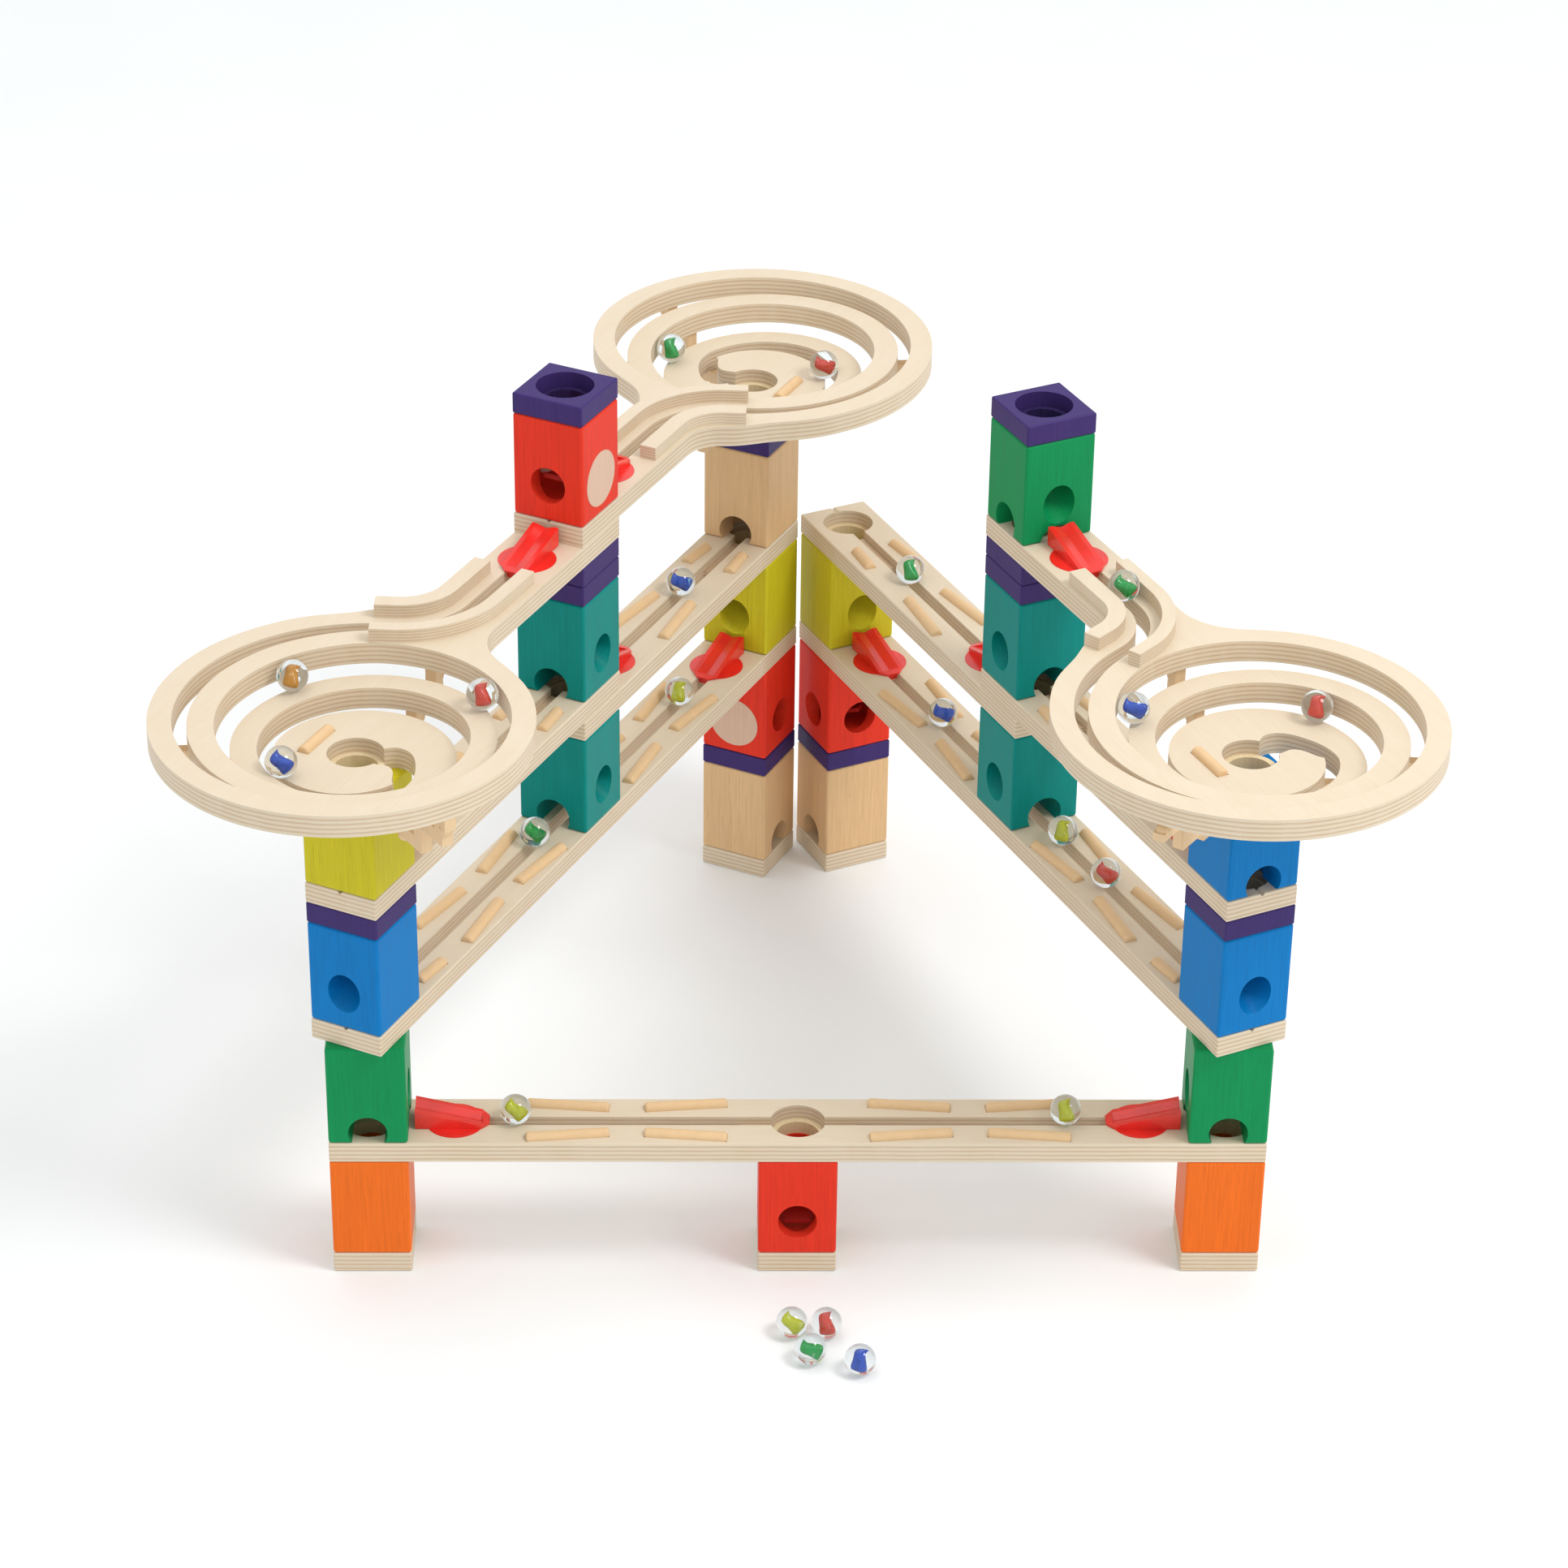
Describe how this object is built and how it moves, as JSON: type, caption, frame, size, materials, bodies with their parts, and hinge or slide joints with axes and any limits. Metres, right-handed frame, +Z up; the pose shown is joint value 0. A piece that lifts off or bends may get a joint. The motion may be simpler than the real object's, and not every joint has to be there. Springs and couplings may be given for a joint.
{
  "type": "wooden marble run",
  "caption": "Tower-built wooden marble run: stacked coloured blocks carry slotted plywood rails and hanging spiral tracks, with swivel ramps, seesaw diverters and glass marbles.",
  "frame": {"origin": "bottom centre of the middle front foot, where it stands on the floor", "axes": "+X along the front rail to the right, +Y from the front rail towards the rear corner, +Z up"},
  "size_m": [0.6276, 0.5962, 0.4],
  "materials": {
    "wood_blue": "stained wood with visible grain",
    "wood_green": "stained wood with visible grain",
    "wood_natural": "natural wood, lacquered",
    "wood_orange": "stained wood with visible grain",
    "wood_red": "stained wood with visible grain",
    "wood_teal": "stained wood with visible grain",
    "wood_yellow": "stained wood with visible grain",
    "wood_pale": "natural wood, lacquered",
    "wood_dowel": "natural wood, lacquered",
    "plywood": "birch plywood, lacquered, layered edges",
    "glass_yellow": "clear glass with a coloured vane",
    "glass_red": "clear glass with a coloured vane",
    "glass_green": "clear glass with a coloured vane",
    "glass_blue": "clear glass with a coloured vane",
    "glass_amber": "clear glass with a coloured vane",
    "plastic_red": "glossy",
    "wood_rocker": "stained",
    "wood_plug": "natural wood, lacquered",
    "wood_purple": "stained wood with visible grain"
  },
  "bodies": {
    "frame": {"blocks_blue": "wood_blue", "blocks_green": "wood_green", "blocks_natural": "wood_natural", "blocks_orange": "wood_orange", "blocks_red": "wood_red", "blocks_teal": "wood_teal", "blocks_yellow": "wood_yellow", "collars": "wood_pale", "dowels": "wood_dowel", "feet": "plywood", "rail_front": "plywood", "rail_left_back": "plywood", "rail_left_lower": "plywood", "rail_left_upper": "plywood", "rail_right_back": "plywood", "rail_right_lower": "plywood", "rail_right_upper": "plywood", "rocker_pins_and_plugs": "wood_plug", "spacers_purple": "wood_purple", "spiral_back": "plywood", "spiral_guards": "plywood", "spiral_left": "plywood", "spiral_right": "plywood", "spiral_struts": "plywood"},
    "ramp_front_left": {"ramp_front_left": "plastic_red"},
    "ramp_front_right": {"ramp_front_right": "plastic_red"},
    "ramp_left_lower": {"ramp_left_lower": "plastic_red"},
    "ramp_right_lower": {"ramp_right_lower": "plastic_red"},
    "ramp_left_back": {"ramp_left_back": "plastic_red"},
    "ramp_right_back": {"ramp_right_back": "plastic_red"},
    "ramp_left_upper": {"ramp_left_upper": "plastic_red"},
    "ramp_right_upper": {"ramp_right_upper": "plastic_red"},
    "ramp_spiral_left": {"ramp_spiral_left": "plastic_red"},
    "ramp_spiral_right": {"ramp_spiral_right": "plastic_red"},
    "ramp_spiral_back": {"ramp_spiral_back": "plastic_red"},
    "rocker_front": {"rocker_front": "wood_rocker"},
    "rocker_back_left": {"rocker_back_left": "wood_rocker"},
    "rocker_back_right": {"rocker_back_right": "wood_rocker"},
    "rocker_top": {"rocker_top": "wood_rocker"},
    "marble_front_left": {"marble_front_left": "glass_yellow"},
    "marble_front_right": {"marble_front_right": "glass_yellow"},
    "marble_left_lower_far": {"marble_left_lower_far": "glass_yellow"},
    "marble_left_lower_near": {"marble_left_lower_near": "glass_green"},
    "marble_right_lower_far": {"marble_right_lower_far": "glass_blue"},
    "marble_right_lower_mid": {"marble_right_lower_mid": "glass_yellow"},
    "marble_right_lower_near": {"marble_right_lower_near": "glass_red"},
    "marble_left_back": {"marble_left_back": "glass_blue"},
    "marble_right_back": {"marble_right_back": "glass_green"},
    "marble_tail_right": {"marble_tail_right": "glass_green"},
    "marble_spiral_left_amber": {"marble_spiral_left_amber": "glass_amber"},
    "marble_spiral_left_red": {"marble_spiral_left_red": "glass_red"},
    "marble_spiral_left_blue": {"marble_spiral_left_blue": "glass_blue"},
    "marble_spiral_right_blue": {"marble_spiral_right_blue": "glass_blue"},
    "marble_spiral_right_red": {"marble_spiral_right_red": "glass_red"},
    "marble_spiral_back_green": {"marble_spiral_back_green": "glass_green"},
    "marble_spiral_back_red": {"marble_spiral_back_red": "glass_red"},
    "marble_floor_a": {"marble_floor_a": "glass_yellow"},
    "marble_floor_b": {"marble_floor_b": "glass_red"},
    "marble_floor_c": {"marble_floor_c": "glass_green"},
    "marble_floor_d": {"marble_floor_d": "glass_blue"}
  },
  "joints": [
    {"name": "ramp_front_left_swivel", "type": "hinge", "parent": "frame", "child": "ramp_front_left", "pos_m": [-0.174, 0, 0.08], "axis": [0, 0, 1], "continuous": true},
    {"name": "ramp_front_right_swivel", "type": "hinge", "parent": "frame", "child": "ramp_front_right", "pos_m": [0.174, 0, 0.08], "axis": [0, 0, 1], "continuous": true},
    {"name": "ramp_left_lower_swivel", "type": "hinge", "parent": "frame", "child": "ramp_left_lower", "pos_m": [-0.04071, 0.349, 0.1485], "axis": [0, 0, 1], "continuous": true},
    {"name": "ramp_right_lower_swivel", "type": "hinge", "parent": "frame", "child": "ramp_right_lower", "pos_m": [0.05176, 0.35437, 0.1485], "axis": [0, 0, 1], "continuous": true},
    {"name": "ramp_left_back_swivel", "type": "hinge", "parent": "frame", "child": "ramp_left_back", "pos_m": [-0.09977, 0.23207, 0.217], "axis": [0, 0, 1], "continuous": true},
    {"name": "ramp_right_back_swivel", "type": "hinge", "parent": "frame", "child": "ramp_right_back", "pos_m": [0.10712, 0.23564, 0.217], "axis": [0, 0, 1], "continuous": true},
    {"name": "ramp_left_upper_swivel", "type": "hinge", "parent": "frame", "child": "ramp_left_upper", "pos_m": [-0.19761, 0.03838, 0.2285], "axis": [0, 0, 1], "continuous": true},
    {"name": "ramp_right_upper_swivel", "type": "hinge", "parent": "frame", "child": "ramp_right_upper", "pos_m": [0.19883, 0.03897, 0.2285], "axis": [0, 0, 1], "continuous": true},
    {"name": "ramp_spiral_left_swivel", "type": "hinge", "parent": "frame", "child": "ramp_spiral_left", "pos_m": [-0.13855, 0.15531, 0.32], "axis": [0, 0, 1], "continuous": true},
    {"name": "ramp_spiral_right_swivel", "type": "hinge", "parent": "frame", "child": "ramp_spiral_right", "pos_m": [0.14346, 0.1577, 0.32], "axis": [0, 0, 1], "continuous": true},
    {"name": "ramp_spiral_back_swivel", "type": "hinge", "parent": "frame", "child": "ramp_spiral_back", "pos_m": [-0.09977, 0.23207, 0.3315], "axis": [0, 0, 1], "continuous": true},
    {"name": "rocker_front_seesaw", "type": "hinge", "parent": "frame", "child": "rocker_front", "pos_m": [0, 0, 0.0285], "axis": [1, 0, 0], "range_deg": [-36, 0]},
    {"name": "rocker_back_left_seesaw", "type": "hinge", "parent": "frame", "child": "rocker_back_left", "pos_m": [-0.02132, 0.38738, 0.097], "axis": [0.4509, 0.8926, 0], "range_deg": [-36, 0]},
    {"name": "rocker_back_right_seesaw", "type": "hinge", "parent": "frame", "child": "rocker_back_right", "pos_m": [0.03358, 0.39334, 0.097], "axis": [-0.342, -0.9397, 0], "range_deg": [-36, 0]},
    {"name": "rocker_top_seesaw", "type": "hinge", "parent": "frame", "child": "rocker_top", "pos_m": [-0.11916, 0.19369, 0.3485], "axis": [-0.8926, 0.4509, 0], "range_deg": [-36, 0]},
    {"name": "marble_front_left_roll", "type": "slide", "parent": "frame", "child": "marble_front_left", "axis": [1, 0, 0], "range_m": [-0.0008, 0.1264]},
    {"name": "marble_front_right_roll", "type": "slide", "parent": "frame", "child": "marble_front_right", "axis": [1, 0, 0], "range_m": [-0.119, 0.0082]},
    {"name": "marble_left_lower_far_roll", "type": "slide", "parent": "frame", "child": "marble_left_lower_far", "axis": [0.4509, 0.8926, 0], "range_m": [-0.0988, 0.0164]},
    {"name": "marble_left_lower_near_roll", "type": "slide", "parent": "frame", "child": "marble_left_lower_near", "axis": [0.4509, 0.8926, 0], "range_m": [-0.1277, 0.0113]},
    {"name": "marble_right_lower_far_roll", "type": "slide", "parent": "frame", "child": "marble_right_lower_far", "axis": [-0.4226, 0.9063, 0], "range_m": [-0.0682, 0.047]},
    {"name": "marble_right_lower_mid_roll", "type": "slide", "parent": "frame", "child": "marble_right_lower_mid", "axis": [-0.4226, 0.9063, 0], "range_m": [-0.0148, 0.0113]},
    {"name": "marble_right_lower_near_roll", "type": "slide", "parent": "frame", "child": "marble_right_lower_near", "axis": [-0.4226, 0.9063, 0], "range_m": [-0.081, 0.0148]},
    {"name": "marble_left_back_roll", "type": "slide", "parent": "frame", "child": "marble_left_back", "axis": [-0.4509, -0.8926, 0], "range_m": [-0.0525, 0.0567]},
    {"name": "marble_right_back_roll", "type": "slide", "parent": "frame", "child": "marble_right_back", "axis": [0.4226, -0.9063, 0], "range_m": [-0.0419, 0.0673]},
    {"name": "marble_tail_right_roll", "type": "slide", "parent": "frame", "child": "marble_tail_right", "axis": [-0.4226, 0.9063, 0], "range_m": [-0.0088, 0.0164]},
    {"name": "marble_spiral_left_amber_roll", "type": "hinge", "parent": "frame", "child": "marble_spiral_left_amber", "pos_m": [-0.21486, -0.00235, 0.31228], "axis": [-0.0287, -0.0225, 0.9993], "range_deg": [-4, 4]},
    {"name": "marble_spiral_left_red_roll", "type": "hinge", "parent": "frame", "child": "marble_spiral_left_red", "pos_m": [-0.21613, -0.00699, 0.31614], "axis": [-0.0165, 0.0291, 0.9994], "range_deg": [-4, 4]},
    {"name": "marble_spiral_left_blue_roll", "type": "hinge", "parent": "frame", "child": "marble_spiral_left_blue", "pos_m": [-0.19934, 0.00751, 0.3051], "axis": [0, 0, 1], "range_deg": [-4, 0]},
    {"name": "marble_spiral_right_blue_roll", "type": "hinge", "parent": "frame", "child": "marble_spiral_right_blue", "pos_m": [0.22088, 0.00009, 0.31279], "axis": [-0.0082, -0.0351, 0.9994], "range_deg": [-4, 4]},
    {"name": "marble_spiral_right_red_roll", "type": "hinge", "parent": "frame", "child": "marble_spiral_right_red", "pos_m": [0.22241, -0.00491, 0.30508], "axis": [0, 0, 1], "range_deg": [-4, 4]},
    {"name": "marble_spiral_back_green_roll", "type": "hinge", "parent": "frame", "child": "marble_spiral_back_green", "pos_m": [-0.01971, 0.39448, 0.31658], "axis": [0, 0, 1], "range_deg": [-4, 4]},
    {"name": "marble_spiral_back_red_roll", "type": "hinge", "parent": "frame", "child": "marble_spiral_back_red", "pos_m": [-0.0215, 0.38918, 0.31658], "axis": [0, 0, 1], "range_deg": [-4, 4]},
    {"name": "marble_floor_a_roll", "type": "slide", "parent": "frame", "child": "marble_floor_a", "axis": [-1, 0, 0], "range_m": [0, 0.04]},
    {"name": "marble_floor_b_roll", "type": "slide", "parent": "frame", "child": "marble_floor_b", "axis": [1, 0, 0], "range_m": [0, 0.04]},
    {"name": "marble_floor_c_roll", "type": "slide", "parent": "frame", "child": "marble_floor_c", "axis": [-1, 0, 0], "range_m": [0, 0.04]},
    {"name": "marble_floor_d_roll", "type": "slide", "parent": "frame", "child": "marble_floor_d", "axis": [1, 0, 0], "range_m": [0, 0.04]}
  ]
}
